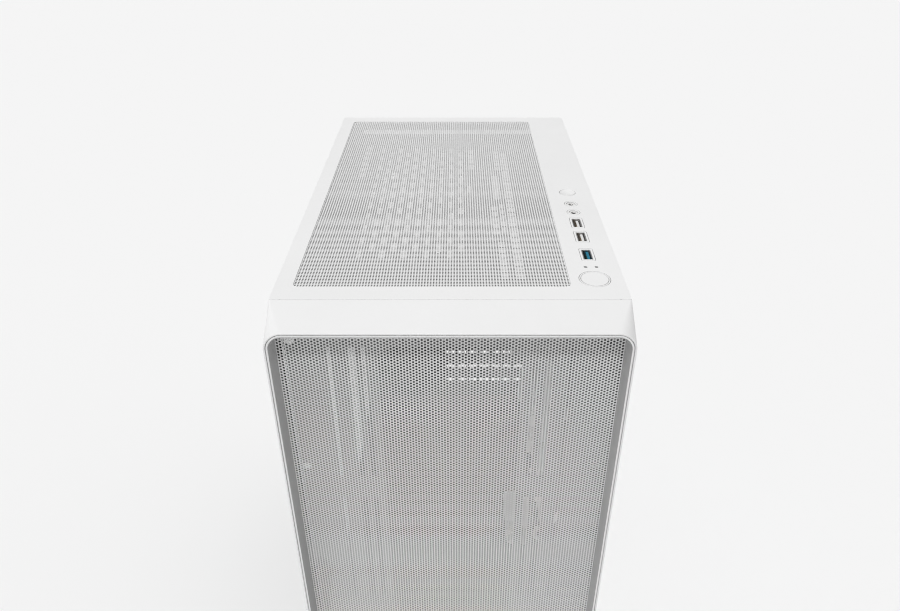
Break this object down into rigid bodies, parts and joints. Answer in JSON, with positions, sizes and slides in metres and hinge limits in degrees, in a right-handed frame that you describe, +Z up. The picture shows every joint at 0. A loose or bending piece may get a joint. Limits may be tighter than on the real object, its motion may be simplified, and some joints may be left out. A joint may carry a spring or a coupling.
{
  "type": "desktop computer tower",
  "caption": "Upright computer case with a set-back mesh front, mesh top, port strip, glass side, and the board, supply and fans it needs inside.",
  "frame": {"origin": "on the ground, under the middle of the tower's overall box", "axes": "front faces -Y, port strip on the +X side of the top, glass side on -X, +Z up"},
  "size_m": [0.215, 0.379, 0.465],
  "materials": {
    "white_plastic": "satin moulded white",
    "white_steel": "fine powder coat, white",
    "clear_glass": "clear, polished",
    "grey_rubber": "matt",
    "board_white": "white solder mask",
    "bare_metal": "plain sheet steel",
    "dark_plastic": "matt black",
    "pale_plastic": "matt pale grey",
    "blue_plastic": "blue moulded",
    "aluminium": "bead blasted",
    "cable_white": "woven sleeve over wires"
  },
  "bodies": {
    "chassis": {"board_power_cable": "cable_white", "board_tray": "white_steel", "chassis_floor": "white_steel", "chassis_front": "white_steel", "chassis_top": "white_steel", "chipset_heatsink": "aluminium", "cooler_fan_frame": "white_plastic", "cooler_heatsink": "aluminium", "drive_cage": "white_steel", "foot_front_left": "white_plastic", "foot_front_right": "white_plastic", "foot_rear_left": "white_plastic", "foot_rear_right": "white_plastic", "front_panel_cable": "cable_white", "hard_drive": "bare_metal", "headphone_jack": "pale_plastic", "io_shield": "bare_metal", "light_pipes": "pale_plastic", "mains_inlet": "dark_plastic", "memory_stick_1": "aluminium", "memory_stick_2": "aluminium", "microphone_jack": "pale_plastic", "motherboard": "board_white", "port_block": "bare_metal", "port_board": "board_white", "port_carrier": "white_plastic", "power_switch": "dark_plastic", "processor": "aluminium", "processor_power_cable": "cable_white", "psu_case": "white_steel", "psu_fan_frame": "white_plastic", "psu_shroud": "white_steel", "rear_fan_frame": "white_plastic", "rear_panel": "white_steel", "regulator_heatsink": "aluminium", "reset_switch": "dark_plastic", "slot_cover": "white_steel", "solid_state_drive": "dark_plastic", "top_mesh": "white_steel", "top_panel": "white_plastic", "usb2_front_socket": "bare_metal", "usb2_rear_socket": "bare_metal", "usb3_socket": "blue_plastic"},
    "front_cover": {"front_bezel": "white_plastic", "front_mesh": "white_steel"},
    "window_panel": {"side_window": "clear_glass", "window_rail": "white_steel"},
    "window_screw_low": {"window_screw_lower": "white_steel"},
    "window_screw_high": {"window_screw_upper": "white_steel"},
    "steel_panel": {"steel_side": "white_steel"},
    "side_screw_low": {"side_screw_lower": "white_steel"},
    "side_screw_high": {"side_screw_upper": "white_steel"},
    "power_key": {"power_button": "white_plastic"},
    "reset_key": {"reset_button": "white_plastic"},
    "dust_filter": {"filter_frame": "white_plastic", "filter_net": "grey_rubber"},
    "rear_rotor": {"rear_fan_rotor": "pale_plastic"},
    "cooler_rotor": {"cooler_fan_rotor": "pale_plastic"},
    "psu_rotor": {"psu_fan_rotor": "pale_plastic"},
    "power_rocker": {"switch_rocker": "dark_plastic"}
  },
  "joints": [
    {"name": "power_press", "type": "slide", "parent": "chassis", "child": "power_key", "axis": [0, 0, -1], "range_m": [0, 0.0015], "stiffness_N_per_m": 700},
    {"name": "reset_press", "type": "slide", "parent": "chassis", "child": "reset_key", "axis": [0, 0, -1], "range_m": [0, 0.001], "stiffness_N_per_m": 600},
    {"name": "front_cover_pull", "type": "slide", "parent": "chassis", "child": "front_cover", "axis": [0, -1, 0], "range_m": [0, 0.06]},
    {"name": "window_remove", "type": "slide", "parent": "chassis", "child": "window_panel", "axis": [-1, 0, 0], "range_m": [0, 0.06]},
    {"name": "steel_side_remove", "type": "slide", "parent": "chassis", "child": "steel_panel", "axis": [1, 0, 0], "range_m": [0, 0.06]},
    {"name": "filter_slide", "type": "slide", "parent": "chassis", "child": "dust_filter", "axis": [0, 1, 0], "range_m": [0, 0.16]},
    {"name": "rear_fan_spin", "type": "hinge", "parent": "chassis", "child": "rear_rotor", "pos_m": [-0.027, 0.1642, 0.37], "axis": [0, 1, 0], "continuous": true},
    {"name": "cooler_fan_spin", "type": "hinge", "parent": "chassis", "child": "cooler_rotor", "pos_m": [0.0428, 0.1, 0.342], "axis": [1, 0, 0], "continuous": true},
    {"name": "psu_fan_spin", "type": "hinge", "parent": "chassis", "child": "psu_rotor", "pos_m": [0.007, 0.1062, 0.0355], "axis": [0, 0, 1], "continuous": true},
    {"name": "power_rocker_tilt", "type": "hinge", "parent": "chassis", "child": "power_rocker", "pos_m": [0.051, 0.177, 0.0925], "axis": [0, 0, 1], "range_deg": [0, 14]},
    {"name": "window_screw_low_turn", "type": "hinge", "parent": "window_panel", "child": "window_screw_low", "pos_m": [-0.0945, 0.1824, 0.075], "axis": [0, 1, 0], "continuous": true},
    {"name": "window_screw_high_turn", "type": "hinge", "parent": "window_panel", "child": "window_screw_high", "pos_m": [-0.0945, 0.1824, 0.405], "axis": [0, 1, 0], "continuous": true},
    {"name": "side_screw_low_turn", "type": "hinge", "parent": "steel_panel", "child": "side_screw_low", "pos_m": [0.097, 0.1824, 0.075], "axis": [0, 1, 0], "continuous": true},
    {"name": "side_screw_high_turn", "type": "hinge", "parent": "steel_panel", "child": "side_screw_high", "pos_m": [0.097, 0.1824, 0.405], "axis": [0, 1, 0], "continuous": true}
  ]
}
